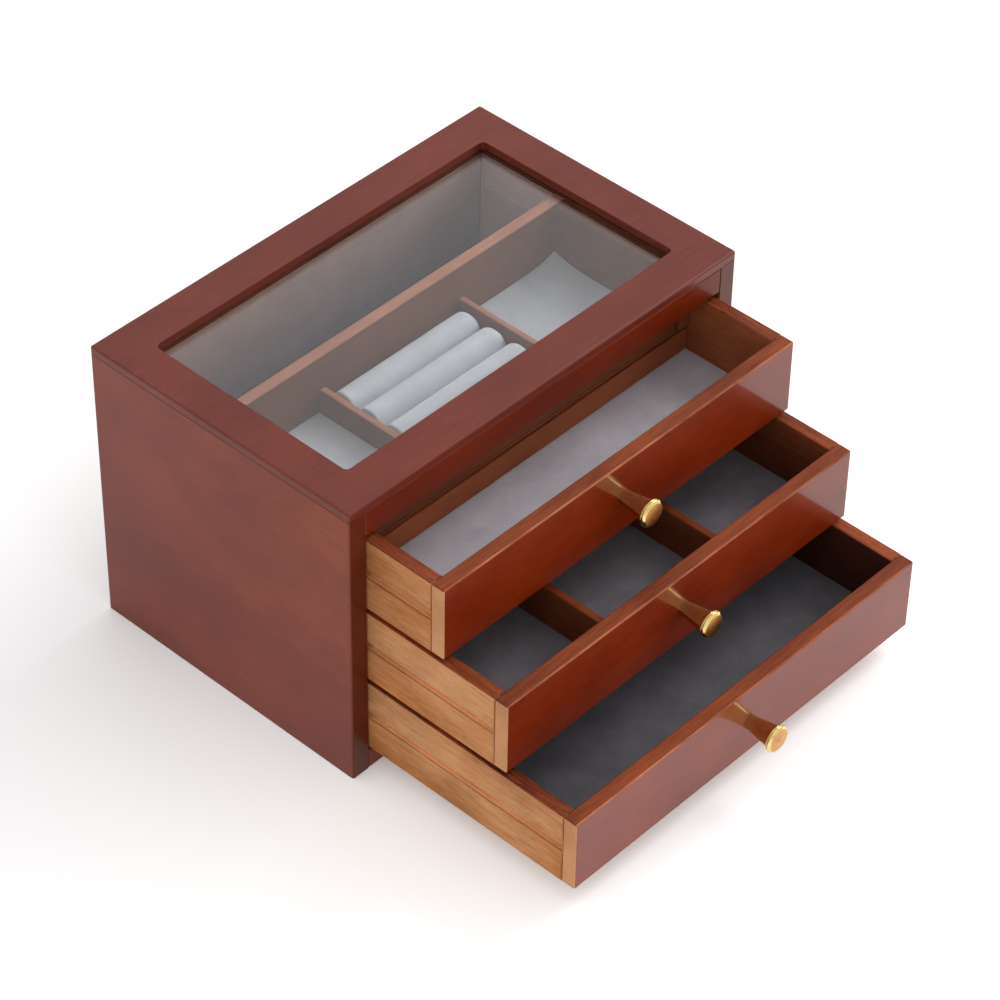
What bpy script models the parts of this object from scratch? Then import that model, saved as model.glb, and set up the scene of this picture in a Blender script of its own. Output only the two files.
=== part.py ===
"""Tabletop jewelry armoire: a wooden chest with a glass-windowed hinged lid over a shallow
tray with ring rolls and a deep rear well, and three drawers that run on wooden strips.

Frame: metres, +Z up, +Y towards the back, origin at the centre of the underside.
The lid is closed and the drawers stand pulled out by PULL_OUTS.
"""

import math

import bmesh
import bpy
from mathutils import Vector

MM = 0.001

# Overall size, mm
WIDTH = 280.0
DEPTH = 180.0
HEIGHT = 178.0
BOARD = 11.0
GAP = 0.3
EDGE_ROUND = 1.2
CUT_PAST = 1.0
JOIN_LAP = 1.0

# Carcass, mm
LID_THICK = 4.8
BODY_TOP = HEIGHT - LID_THICK - GAP
BACK_THICK = 11.0
BOTTOM_THICK = 12.0
RAIL_LOW = 157.4

# Drawers, mm: numbered from the top
DRAWER_WIDTH = 256.0
DRAWER_TALL = 45.0
DRAWER_FRONT = 8.5
DRAWER_SIDE = 7.7
DRAWER_BACK = 7.0
DRAWER_ENDS = (7.0, 78.0, 78.0)
DRAWER_LOW = (109.2, 61.6, 14.0)
PULL_OUTS = (50.6, 92.5, 138.2)
PANEL_LOW = 4.5
PANEL_THICK = 3.0
FELT_THICK = 0.9
GROOVE_LOW = 20.4
GROOVE_TALL = 5.2
GROOVE_DEEP = 3.5
RUNNER_PLAY = 0.4
RUNNER_SETBACK = 2.0
RUNNER_FRONT = 9.0
RUNNER_CLEAR = 0.5
STUD_HOLE_R = 1.7
STUD_HOLE_DEEP = 6.2
LOW_BOARD_TOP = 23.4
FIRST_DIVIDER_Y = -27.0
THIN_DIVIDER = 4.5
DRAWER_2_DIVIDERS = (-46.0, 38.0)
DRAWER_2_DIVIDER_TOP = 33.4

# Top compartment, mm
TRAY_FLOOR = (133.1, 134.9)
TRAY_IN_X = 111.0
TRAY_OUT_X = 118.5
TRAY_WALL_OUT_X = 119.0
TRAY_FRONT_Y = (-76.5, -69.5)
TRAY_WALL_TOP = 168.4
LONG_DIVIDER_Y = (8.0, 14.8)
LONG_DIVIDER_TOP = 170.4
SHORT_DIVIDERS = ((-63.0, -59.0), (37.5, 41.0))
SHORT_DIVIDER_TOP = 150.3
LINER_THICK = 0.7
ROLL_PITCH = 18.0
ROLL_WIDE = 17.4
ROLL_FLAT = 0.2
ROLL_END_GAP = 0.6
ROLL_TOP = 150.8
ROLL_FIRST_Y = -3.7
ROLL_COUNT = 4

# Rear well behind the long divider, mm
WELL_FLOOR = (107.3, 109.0)
WELL_IN_X = 118.3
WELL_IN_Y = 67.5

# Lid, mm
WINDOW_X = 117.8
WINDOW_Y = 66.6
WINDOW_ROUND = 2.5
GLASS_OVERLAP = 3.8
GLASS_THICK = 1.9
BEAD_OUT_X = 127.5
BEAD_OUT_Y = 77.5
BEAD_LOW = 168.8
BEAD_SETBACK = 0.5

# Hinges, mm
HINGE_X = 85.0
HINGE_AXIS_Y = DEPTH / 2 + 1.6
HINGE_AXIS_Z = BODY_TOP + GAP / 2
LEAF_HALF = 11.0
LEAF_THICK = 0.7
LEAF_FROM_Y = 83.6
LEAF_TO_Y = DEPTH / 2 - 0.1
LEAF_CLEAR = 0.2
BARREL_R = 1.3
BORE_R = 0.8
PIN_R = 0.7
PIN_PROUD = 0.3
KNUCKLE_HALF = 3.7

# Knob profile, mm: radius and distance out from the drawer front, from the face inwards
KNOB_PROFILE = (
    (0.0, 19.6),
    (3.5, 19.5),
    (6.4, 19.0),
    (7.3, 18.6),
    (7.7, 18.0),
    (7.7, 17.0),
    (7.2, 16.6),
    (6.5, 16.5),
    (6.1, 15.6),
    (5.3, 12.6),
    (4.5, 9.0),
    (3.8, 5.5),
    (3.35, 3.0),
    (3.5, 1.6),
    (4.0, 0.9),
    (4.0, 0.0),
    (1.4, 0.0),
    (1.4, -6.0),
    (0.0, -6.0),
)
KNOB_STEPS = 24

# Colour, roughness, metallic, transmission
FINISHES = {
    "lacquer": ((0.20, 0.045, 0.022), 0.30, 0.0, 0.0),
    "front": ((0.21, 0.030, 0.009), 0.22, 0.0, 0.0),
    "rim": ((0.26, 0.085, 0.040), 0.45, 0.0, 0.0),
    "natural": ((0.52, 0.27, 0.12), 0.55, 0.0, 0.0),
    "inside": ((0.16, 0.060, 0.030), 0.50, 0.0, 0.0),
    "felt": ((0.30, 0.31, 0.34), 0.95, 0.0, 0.0),
    "velvet": ((0.46, 0.48, 0.51), 0.90, 0.0, 0.0),
    "brass": ((0.80, 0.57, 0.24), 0.18, 1.0, 0.0),
    "glass": ((0.92, 0.93, 0.95), 0.03, 0.0, 1.0),
}


def clear_scene():
    """Remove every object, so that the model starts from an empty scene."""
    for obj in list(bpy.data.objects):
        bpy.data.objects.remove(obj, do_unlink=True)


def new_collection(name):
    """Return a fresh collection linked to the scene."""
    collection = bpy.data.collections.new(name)
    bpy.context.scene.collection.children.link(collection)
    return collection


def make_material(name, finish):
    """Return a Principled BSDF material of one of the finishes."""
    color, roughness, metallic, transmission = FINISHES[finish]
    material = bpy.data.materials.new(name)
    material.use_nodes = True
    shader = material.node_tree.nodes["Principled BSDF"]
    shader.inputs["Base Color"].default_value = (*color, 1.0)
    shader.inputs["Roughness"].default_value = roughness
    shader.inputs["Metallic"].default_value = metallic
    shader.inputs["Transmission Weight"].default_value = transmission
    return material


def add_empty(name, location):
    """Return an empty at a joint's reference point, given in mm."""
    empty = bpy.data.objects.new(name, None)
    empty.location = Vector(location) * MM
    empty.empty_display_size = 0.02
    PARTS.objects.link(empty)
    return empty


def add_object(name, mesh, centre, finish, parent):
    """Link a mesh as a part, with its centre in mm in the cabinet's or parent's frame."""
    obj = bpy.data.objects.new(name, mesh)
    obj.location = Vector(centre) * MM
    if finish is None:
        obj.hide_render = True
        obj.display_type = "WIRE"
        CUTTERS.objects.link(obj)
    else:
        mesh.materials.append(make_material(name, finish))
        PARTS.objects.link(obj)
    obj.parent = parent
    return obj


def box_mesh(name, size, pick=None, radius=0.0, segments=3):
    """Return a box mesh of a size in mm, with the edges that pick accepts rounded."""
    bm = bmesh.new()
    bmesh.ops.create_cube(bm, size=1.0)
    bmesh.ops.scale(bm, vec=Vector(size) * MM, verts=bm.verts)
    if pick is not None:
        edges = [edge for edge in bm.edges if pick(edge)]
        bmesh.ops.bevel(
            bm,
            geom=edges,
            offset=radius * MM,
            offset_type="OFFSET",
            segments=segments,
            profile=0.5,
            affect="EDGES",
            clamp_overlap=True,
        )
    mesh = bpy.data.meshes.new(name)
    bm.to_mesh(mesh)
    bm.free()
    return mesh


def add_box(name, x, y, z, finish, parent=None, soften=0.5, pick=None, radius=0.0, segments=3):
    """Add a board between pairs of limits in mm, its remaining edges softened."""
    size = (x[1] - x[0], y[1] - y[0], z[1] - z[0])
    centre = ((x[0] + x[1]) / 2, (y[0] + y[1]) / 2, (z[0] + z[1]) / 2)
    mesh = box_mesh(name, size, pick, radius, segments)
    obj = add_object(name, mesh, centre, finish, parent)
    if soften > 0.0:
        bevel = obj.modifiers.new("soften", "BEVEL")
        bevel.width = soften * MM
        bevel.segments = 1
        bevel.limit_method = "ANGLE"
        bevel.angle_limit = math.radians(60.0)
    return obj


def add_cylinder(name, axis, centre, radius, length, finish, parent=None, segments=24):
    """Add a cylinder along the X or Y axis, sizes in mm."""
    bm = bmesh.new()
    bmesh.ops.create_cone(
        bm,
        cap_ends=True,
        segments=segments,
        radius1=radius * MM,
        radius2=radius * MM,
        depth=length * MM,
    )
    mesh = bpy.data.meshes.new(name)
    bm.to_mesh(mesh)
    bm.free()
    obj = add_object(name, mesh, centre, finish, parent)
    if axis == "X":
        obj.rotation_euler = (0.0, math.radians(90.0), 0.0)
    else:
        obj.rotation_euler = (math.radians(90.0), 0.0, 0.0)
    return obj


def combine(obj, other, operation):
    """Cut obj by another object, or join the other object to it."""
    modifier = obj.modifiers.new(operation.lower(), "BOOLEAN")
    modifier.operation = operation
    modifier.object = other
    modifier.solver = "EXACT"


def is_vertical(edge):
    """True for an edge along Z."""
    a, b = (vert.co for vert in edge.verts)
    return abs(a.x - b.x) < 1e-6 and abs(a.y - b.y) < 1e-6


def is_outer_vertical(side):
    """Return a test for the vertical edges on one side in X."""
    return lambda edge: is_vertical(edge) and edge.verts[0].co.x * side > 0.0


def is_vertical_or_top(edge):
    """True for the vertical edges and the edges around the top face."""
    return is_vertical(edge) or all(vert.co.z > 0.0 for vert in edge.verts)


def build_carcass():
    """The fixed boards around the drawers and the strips the drawers run on."""
    half = WIDTH / 2
    front = -DEPTH / 2
    inner = half - BOARD - GAP
    back_y = (DEPTH / 2 - GAP - BACK_THICK, DEPTH / 2 - GAP)
    for side, word in ((-1, "left"), (1, "right")):
        x = sorted((side * half, side * (half - BOARD)))
        add_box(
            f"cabinet_side_{word}",
            x,
            (front, DEPTH / 2),
            (0.0, BODY_TOP),
            "lacquer",
            soften=0.0,
            pick=is_outer_vertical(side),
            radius=EDGE_ROUND,
            segments=4,
        )
    back = add_box("cabinet_back", (-inner, inner), back_y, (0.0, BODY_TOP), "lacquer", soften=0.0)
    for side in (-1, 1):
        pocket = add_box(
            f"cut_back_hinge_{side}",
            (side * HINGE_X - LEAF_HALF - GAP, side * HINGE_X + LEAF_HALF + GAP),
            (LEAF_FROM_Y - GAP, DEPTH / 2 + CUT_PAST),
            (HINGE_AXIS_Z - LEAF_CLEAR - LEAF_THICK - GAP, BODY_TOP + CUT_PAST),
            None,
            soften=0.0,
        )
        combine(back, pocket, "DIFFERENCE")
    add_box(
        "cabinet_bottom",
        (-inner, inner),
        (front, back_y[0] - GAP),
        (0.0, BOTTOM_THICK),
        "lacquer",
    )
    add_box("front_rail", (-inner, inner), (front, front + BOARD), (RAIL_LOW, BODY_TOP), "front")
    runner_out = half - BOARD - GAP
    runner_in = DRAWER_WIDTH / 2 - GROOVE_DEEP + RUNNER_CLEAR
    for number, low in enumerate(DRAWER_LOW, start=1):
        z = (low + GROOVE_LOW + RUNNER_PLAY, low + GROOVE_LOW + GROOVE_TALL - RUNNER_PLAY)
        for side, word in ((-1, "left"), (1, "right")):
            x = sorted((side * runner_out, side * runner_in))
            y = (front + RUNNER_FRONT, DRAWER_ENDS[number - 1] - RUNNER_SETBACK)
            add_box(f"runner_{number}_{word}", x, y, z, "inside")


def build_tray():
    """The shallow lined tray under the lid, hung between the rail and the rear well."""
    front = -DEPTH / 2
    rear = LONG_DIVIDER_Y[0] - GAP
    back = DEPTH / 2 - GAP - BACK_THICK - GAP
    wall_front = front + BOARD + GAP
    stand = TRAY_FLOOR[1] + GAP
    well_stand = WELL_FLOOR[1] + GAP
    outer = WIDTH / 2 - BOARD - GAP
    inside = TRAY_IN_X - GAP
    well_inside = WELL_IN_X - GAP
    add_box(
        "tray_floor",
        (-TRAY_OUT_X, TRAY_OUT_X),
        (TRAY_FRONT_Y[0], rear),
        TRAY_FLOOR,
        "inside",
        soften=0.0,
    )
    for side, word in ((-1, "left"), (1, "right")):
        wall = add_box(
            f"tray_wall_{word}",
            sorted((side * outer, side * WELL_IN_X)),
            (wall_front, back),
            (well_stand, TRAY_WALL_TOP),
            "inside",
            soften=0.0,
        )
        drawer_room = add_box(
            f"cut_tray_wall_{word}",
            sorted((side * (outer + CUT_PAST), side * (WELL_IN_X - CUT_PAST))),
            (wall_front - CUT_PAST, LONG_DIVIDER_Y[0]),
            (well_stand - CUT_PAST, RAIL_LOW),
            None,
            soften=0.0,
        )
        combine(wall, drawer_room, "DIFFERENCE")
        tray_side = add_box(
            f"join_tray_wall_{word}",
            sorted((side * TRAY_WALL_OUT_X, side * TRAY_IN_X)),
            (wall_front, rear),
            (stand, TRAY_WALL_TOP),
            None,
            soften=0.0,
        )
        combine(wall, tray_side, "UNION")
    add_box("tray_wall_front", (-inside, inside), TRAY_FRONT_Y, (stand, TRAY_WALL_TOP), "inside")
    add_box(
        "tray_divider_long",
        (-well_inside, well_inside),
        LONG_DIVIDER_Y,
        (well_stand, LONG_DIVIDER_TOP),
        "rim",
        soften=0.6,
    )
    row_y = (TRAY_FRONT_Y[1] + GAP, rear)
    for x, word in zip(SHORT_DIVIDERS, ("left", "right")):
        add_box(f"tray_divider_{word}", x, row_y, (stand, SHORT_DIVIDER_TOP), "rim")
    liner_z = (stand, stand + LINER_THICK)
    left_x = (-inside, SHORT_DIVIDERS[0][0] - GAP)
    right_x = (SHORT_DIVIDERS[1][1] + GAP, inside)
    add_box("tray_felt_left", left_x, row_y, liner_z, "felt", soften=0.0)
    add_box("tray_felt_right", right_x, row_y, liner_z, "felt", soften=0.0)
    roll_x = (SHORT_DIVIDERS[0][1] + ROLL_END_GAP, SHORT_DIVIDERS[1][0] - ROLL_END_GAP)
    for index in range(ROLL_COUNT):
        y = ROLL_FIRST_Y - index * ROLL_PITCH
        add_box(
            f"ring_roll_{index + 1}",
            roll_x,
            (y - ROLL_WIDE / 2, y + ROLL_WIDE / 2),
            (stand, ROLL_TOP),
            "velvet",
            soften=0.0,
            pick=is_vertical_or_top,
            radius=(ROLL_WIDE - ROLL_FLAT) / 2,
            segments=5,
        )
    build_well(outer, well_inside, back, well_stand)


def build_well(outer, inside, back, stand):
    """The floor, back panel and floor lining of the deep compartment behind the tray."""
    add_box("well_floor", (-outer, outer), (LONG_DIVIDER_Y[0], back), WELL_FLOOR, "inside", soften=0.0)
    add_box("well_back", (-inside, inside), (WELL_IN_Y, back), (stand, TRAY_WALL_TOP), "inside")
    add_box(
        "well_felt",
        (-inside + LINER_THICK, inside - LINER_THICK),
        (LONG_DIVIDER_Y[1] + GAP, WELL_IN_Y - LINER_THICK),
        (stand, stand + LINER_THICK),
        "felt",
        soften=0.0,
    )


def build_lid():
    """The window frame, its pane and bead, on an empty at the hinge axis."""
    axis = (0.0, HINGE_AXIS_Y, HINGE_AXIS_Z)
    pivot = add_empty("lid_hinge_axis", axis)

    def on_lid(y, z):
        return (y[0] - axis[1], y[1] - axis[1]), (z[0] - axis[2], z[1] - axis[2])

    half = WIDTH / 2
    low = BODY_TOP + GAP
    y, z = on_lid((-DEPTH / 2, DEPTH / 2), (low, HEIGHT))
    frame = add_box(
        "lid_frame",
        (-half, half),
        y,
        z,
        "lacquer",
        pivot,
        soften=0.0,
        pick=is_vertical_or_top,
        radius=EDGE_ROUND,
        segments=4,
    )
    y, z = on_lid((-WINDOW_Y, WINDOW_Y), (low - CUT_PAST, HEIGHT + CUT_PAST))
    window = add_box(
        "cut_lid_window",
        (-WINDOW_X, WINDOW_X),
        y,
        z,
        None,
        pivot,
        soften=0.0,
        pick=is_vertical,
        radius=WINDOW_ROUND,
    )
    combine(frame, window, "DIFFERENCE")
    pocket_top = HINGE_AXIS_Z + LEAF_CLEAR + LEAF_THICK + GAP
    for side in (-1, 1):
        y, z = on_lid((LEAF_FROM_Y - GAP, DEPTH / 2 + CUT_PAST), (low - CUT_PAST, pocket_top))
        pocket = add_box(
            f"cut_lid_hinge_{side}",
            (side * HINGE_X - LEAF_HALF - GAP, side * HINGE_X + LEAF_HALF + GAP),
            y,
            z,
            None,
            pivot,
            soften=0.0,
        )
        combine(frame, pocket, "DIFFERENCE")
    glass_x = WINDOW_X + GLASS_OVERLAP
    glass_y = WINDOW_Y + GLASS_OVERLAP
    glass_top = low - GAP
    glass_low = glass_top - GLASS_THICK
    y, z = on_lid((-glass_y, glass_y), (glass_low, glass_top))
    add_box("lid_glass", (-glass_x, glass_x), y, z, "glass", pivot, soften=0.2)
    y, z = on_lid((-BEAD_OUT_Y, BEAD_OUT_Y), (BEAD_LOW, glass_top))
    bead = add_box("lid_bead", (-BEAD_OUT_X, BEAD_OUT_X), y, z, "inside", pivot, soften=0.0)
    bead_y = WINDOW_Y + BEAD_SETBACK
    y, z = on_lid((-bead_y, bead_y), (BEAD_LOW - CUT_PAST, HEIGHT))
    through = add_box(
        "cut_bead_window",
        (-WINDOW_X - BEAD_SETBACK, WINDOW_X + BEAD_SETBACK),
        y,
        z,
        None,
        pivot,
        soften=0.0,
    )
    combine(bead, through, "DIFFERENCE")
    y, z = on_lid((-glass_y - GAP, glass_y + GAP), (glass_low - GAP, HEIGHT))
    seat = add_box(
        "cut_bead_seat",
        (-glass_x - GAP, glass_x + GAP),
        y,
        z,
        None,
        pivot,
        soften=0.0,
    )
    combine(bead, seat, "DIFFERENCE")
    return pivot


def leaf_piece(name, spans, z, parent, offset):
    """A hinge leaf: a plate with a tongue and a knuckle over each span of X, bored for the pin."""
    x0 = offset[0]
    axis_y, axis_z = HINGE_AXIS_Y - offset[1], HINGE_AXIS_Z - offset[2]
    z_local = (z[0] - offset[2], z[1] - offset[2])
    plate_y = (LEAF_FROM_Y - offset[1], LEAF_TO_Y - offset[1])
    leaf = add_box(
        name,
        (x0 - LEAF_HALF, x0 + LEAF_HALF),
        plate_y,
        z_local,
        "brass",
        parent,
        soften=0.0,
    )
    for index, span in enumerate(spans):
        x = (x0 + span[0], x0 + span[1])
        tongue_y = (plate_y[1] - JOIN_LAP, axis_y)
        tongue = add_box(f"join_{name}_tongue_{index}", x, tongue_y, z_local, None, parent, soften=0.0)
        combine(leaf, tongue, "UNION")
        centre = ((x[0] + x[1]) / 2, axis_y, axis_z)
        length = x[1] - x[0]
        knuckle = add_cylinder(
            f"join_{name}_knuckle_{index}", "X", centre, BARREL_R, length, None, parent
        )
        combine(leaf, knuckle, "UNION")
    bore = add_cylinder(
        f"cut_{name}_bore", "X", (x0, axis_y, axis_z), BORE_R, 3 * LEAF_HALF, None, parent, segments=16
    )
    combine(leaf, bore, "DIFFERENCE")


def build_hinges(pivot):
    """Two butt hinges let into the top of the back board and the underside of the lid."""
    gap = KNUCKLE_HALF + GAP
    outer_spans = ((-LEAF_HALF, -gap), (gap, LEAF_HALF))
    middle_span = ((-KNUCKLE_HALF, KNUCKLE_HALF),)
    lid_low = HINGE_AXIS_Z + LEAF_CLEAR
    body_high = HINGE_AXIS_Z - LEAF_CLEAR
    lid_z = (lid_low, lid_low + LEAF_THICK)
    body_z = (body_high - LEAF_THICK, body_high)
    for side, word in ((-1, "left"), (1, "right")):
        x = side * HINGE_X
        offset = (x, HINGE_AXIS_Y, HINGE_AXIS_Z)
        leaf_piece(f"hinge_{word}_lid_leaf", middle_span, lid_z, pivot, offset)
        leaf_piece(f"hinge_{word}_body_leaf", outer_spans, body_z, None, (x, 0.0, 0.0))
        pin = add_cylinder(
            f"hinge_{word}_pin",
            "X",
            (x, HINGE_AXIS_Y, HINGE_AXIS_Z),
            PIN_R,
            2 * (LEAF_HALF + PIN_PROUD),
            "brass",
            segments=16,
        )
        pin.data.shade_smooth()
        pin.data.set_sharp_from_angle(angle=math.radians(40.0))


def knob_mesh():
    """A turned knob on a stud, its axis along Z, from a half profile."""
    mesh = bpy.data.meshes.new("knob_profile")
    verts = [(radius * MM, 0.0, out * MM) for radius, out in KNOB_PROFILE]
    edges = [(index, index + 1) for index in range(len(verts) - 1)]
    mesh.from_pydata(verts, edges, [])
    return mesh


def add_knob(name, z, parent):
    """A brass knob in the middle of a drawer front."""
    knob = add_object(name, knob_mesh(), (0.0, -DEPTH / 2 - GAP, z), "brass", parent)
    knob.rotation_euler = (math.radians(90.0), 0.0, 0.0)
    screw = knob.modifiers.new("turn", "SCREW")
    screw.axis = "Z"
    screw.angle = math.radians(360.0)
    screw.steps = KNOB_STEPS
    screw.render_steps = KNOB_STEPS
    screw.use_merge_vertices = True
    screw.merge_threshold = 0.00001
    screw.use_smooth_shade = True
    return knob


def build_drawer(number):
    """One drawer around its empty, which slides along Y. Local z starts at its underside."""
    pull = PULL_OUTS[number - 1]
    name = f"drawer_{number}"
    slide = add_empty(f"{name}_slide", (0.0, -pull, DRAWER_LOW[number - 1]))
    half = DRAWER_WIDTH / 2
    front_y = (-DEPTH / 2, -DEPTH / 2 + DRAWER_FRONT)
    inner = half - DRAWER_SIDE - GAP
    end = DRAWER_ENDS[number - 1]
    back_y = (end - DRAWER_BACK, end)
    back_top = LOW_BOARD_TOP if number == 1 else DRAWER_TALL
    tall = (0.0, DRAWER_TALL)
    front = add_box(f"{name}_front", (-half, half), front_y, tall, "front", slide, soften=0.7)
    stud_hole = add_cylinder(
        f"cut_{name}_stud",
        "Y",
        (0.0, front_y[0] + (STUD_HOLE_DEEP - CUT_PAST) / 2, DRAWER_TALL / 2),
        STUD_HOLE_R,
        STUD_HOLE_DEEP + CUT_PAST,
        None,
        slide,
        segments=16,
    )
    combine(front, stud_hole, "DIFFERENCE")
    for side, word in ((-1, "left"), (1, "right")):
        board = add_box(
            f"{name}_side_{word}",
            sorted((side * half, side * (half - DRAWER_SIDE))),
            (front_y[1] + GAP, end),
            tall,
            "natural",
            slide,
        )
        groove = add_box(
            f"cut_{name}_groove_{word}",
            sorted((side * (half + CUT_PAST), side * (half - GROOVE_DEEP))),
            (front_y[1] - CUT_PAST, end + CUT_PAST),
            (GROOVE_LOW, GROOVE_LOW + GROOVE_TALL),
            None,
            slide,
            soften=0.0,
        )
        combine(board, groove, "DIFFERENCE")
    add_box(f"{name}_back", (-inner, inner), back_y, (0.0, back_top), "inside", slide)
    floor_y = (front_y[1] + GAP, back_y[0] - GAP)
    panel_z = (PANEL_LOW, PANEL_LOW + PANEL_THICK)
    add_box(f"{name}_bottom", (-inner, inner), floor_y, panel_z, "natural", slide, soften=0.0)
    felt_z = (panel_z[1] + GAP, panel_z[1] + GAP + FELT_THICK)
    add_box(f"{name}_felt", (-inner, inner), floor_y, felt_z, "felt", slide, soften=0.0)
    add_knob(f"{name}_knob", DRAWER_TALL / 2, slide)
    stand = felt_z[1] + GAP
    if number == 1:
        y = (FIRST_DIVIDER_Y, FIRST_DIVIDER_Y + THIN_DIVIDER)
        add_box(f"{name}_divider", (-inner, inner), y, (stand, LOW_BOARD_TOP), "rim", slide)
    if number == 2:
        for x, word in zip(DRAWER_2_DIVIDERS, ("left", "right")):
            add_box(
                f"{name}_divider_{word}",
                (x, x + THIN_DIVIDER),
                floor_y,
                (stand, DRAWER_2_DIVIDER_TOP),
                "inside",
                slide,
            )


clear_scene()
PARTS = new_collection("jewelry_armoire")
CUTTERS = new_collection("cutters")
build_carcass()
build_tray()
build_hinges(build_lid())
for drawer_number in (1, 2, 3):
    build_drawer(drawer_number)
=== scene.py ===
"""Looks of the tabletop jewelry armoire: its woods, linings, ring rolls, knobs, light and camera.

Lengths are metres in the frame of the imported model: X across the front, Y to the back, Z up.
"""

import math

import bmesh
import bpy
from mathutils import Matrix, Vector, noise


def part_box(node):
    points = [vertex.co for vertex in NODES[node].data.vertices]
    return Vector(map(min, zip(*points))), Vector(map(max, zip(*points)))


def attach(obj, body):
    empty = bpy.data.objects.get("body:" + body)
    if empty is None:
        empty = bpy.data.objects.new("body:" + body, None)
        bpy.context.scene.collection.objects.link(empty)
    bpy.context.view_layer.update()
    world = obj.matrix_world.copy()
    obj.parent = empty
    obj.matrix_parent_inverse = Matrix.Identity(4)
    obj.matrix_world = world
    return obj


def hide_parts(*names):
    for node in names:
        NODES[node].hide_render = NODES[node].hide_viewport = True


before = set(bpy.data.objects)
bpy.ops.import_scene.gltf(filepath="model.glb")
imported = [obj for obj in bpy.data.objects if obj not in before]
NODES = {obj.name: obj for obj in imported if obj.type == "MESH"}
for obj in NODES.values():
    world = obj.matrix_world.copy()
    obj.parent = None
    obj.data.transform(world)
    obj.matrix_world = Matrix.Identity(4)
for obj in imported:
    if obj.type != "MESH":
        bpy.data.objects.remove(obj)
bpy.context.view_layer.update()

MM = 0.001

# Camera
CAMERA_PLACE = (-1.06025, -1.02798, 1.37265)
CAMERA_AZIMUTH = -47.547
CAMERA_ELEVATION = 42.028
CAMERA_ROLL = 1.053
CAMERA_LENS = 136.127
CAMERA_SENSOR = 36.0
CAMERA_FAR = 50.0

# Studio: the floor glows a little in front, painted light that lightens the shadows there
FLOOR_HALF = 12.0
FLOOR_DROP = 0.2 * MM
FLOOR_FILL = 0.19
FLOOR_FILL_FROM_Y = 0.1
FLOOR_FILL_TO_Y = -0.1
SURROUND_STRENGTH = 1.02
KEY_PLACE = (1.8, -0.35, 1.5)
KEY_TARGET = (0.0, 0.0, 0.05)
KEY_SIZE = 1.2
KEY_POWER = 24.0

# Woods
GRAIN_RELIEF = 0.12 * MM
GRAIN_ROUGHNESS = 0.12
WELD_DISTANCE = 0.01 * MM
RIM_DEPTH = 1.2 * MM
OUTER_SKIN = 1.0 * MM
GROOVE_REACH = 3.6 * MM

# Linings
FELT_STEP = 2.5 * MM
FELT_WAVE = 0.12 * MM
FELT_EDGE = 0.15 * MM
NAP_RELIEF = 0.25 * MM
WALL_FELT = 0.6 * MM
WALL_FELT_STAND = WALL_FELT + 0.1 * MM
WALL_FELT_GAP = 0.3 * MM
WALL_FELT_CORNER = 0.2 * MM
WALL_FELT_TOP = 149.5 * MM
# Painted light on the well lining: the heights over which it grows lighter towards the top, and
# how unevenly
PAINTED_LIGHT_HEIGHTS = (122.0 * MM, 174.0 * MM)
PAINTED_LIGHT_UNEVEN = 16.0 * MM
CURL_HEIGHT = 4.0 * MM
CURL_REACH = 24.0 * MM

# Glue in the drawer joints
GLUE_THICK = 0.24 * MM
GLUE_INSET = 0.12 * MM
GLUE_SQUEEZE = 0.02 * MM

# Ring rolls
ROLL_DOME_LEFT = 1.6 * MM
ROLL_DOME_RIGHT = 8.5 * MM
ROLL_AROUND = 40
ROLL_ALONG = 72
ROLL_UNEVEN = 0.012
ROLL_SQUARE_ACROSS = 0.82
ROLL_SQUARE_UP = 0.74
ROLL_END_SHARPNESS = 2.6
ROLL_END_FULLNESS = 1 / 2.2
ROLL_END_LEAST = 0.02
ROLL_END_WIDTH = 0.35
ROLL_SHARE_ACROSS = 0.99
ROLL_SHARE_UP = 0.985

# Knobs: radius and distance out from the drawer front, mm, from the face inwards
KNOB_PROFILE = (
    (0.0, 19.5),
    (6.15, 19.5),
    (6.35, 19.47),
    (6.55, 19.35),
    (7.35, 18.75),
    (7.6, 18.5),
    (7.7, 18.2),
    (7.7, 17.75),
    (7.6, 17.6),
    (7.15, 17.5),
    (7.05, 17.4),
    (7.05, 17.2),
    (7.15, 17.1),
    (7.5, 17.05),
    (7.55, 16.9),
    (7.5, 16.75),
    (7.1, 16.6),
    (6.65, 16.4),
    (6.5, 16.1),
    (6.05, 13.9),
    (5.55, 11.2),
    (5.1, 8.6),
    (4.7, 6.2),
    (4.35, 3.9),
    (4.05, 1.6),
    (4.0, 0.0),
)
KNOB_STEPS = 72
KNOB_RADIUS = 7.7 * MM
KNOB_SINK = 0.1 * MM
KNOB_FACE = 19.4 * MM
KNOB_FACE_ROUGHNESS = 0.26
TURNING_RELIEF = 0.02 * MM


# --- Colours and node helpers -------------------------------------------------------------


def linear(red, green, blue):
    """Linear colour of an sRGB colour given from 0 to 255."""

    def one(value):
        value /= 255.0
        return value / 12.92 if value <= 0.04045 else ((value + 0.055) / 1.055) ** 2.4

    return (one(red), one(green), one(blue), 1.0)


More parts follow.
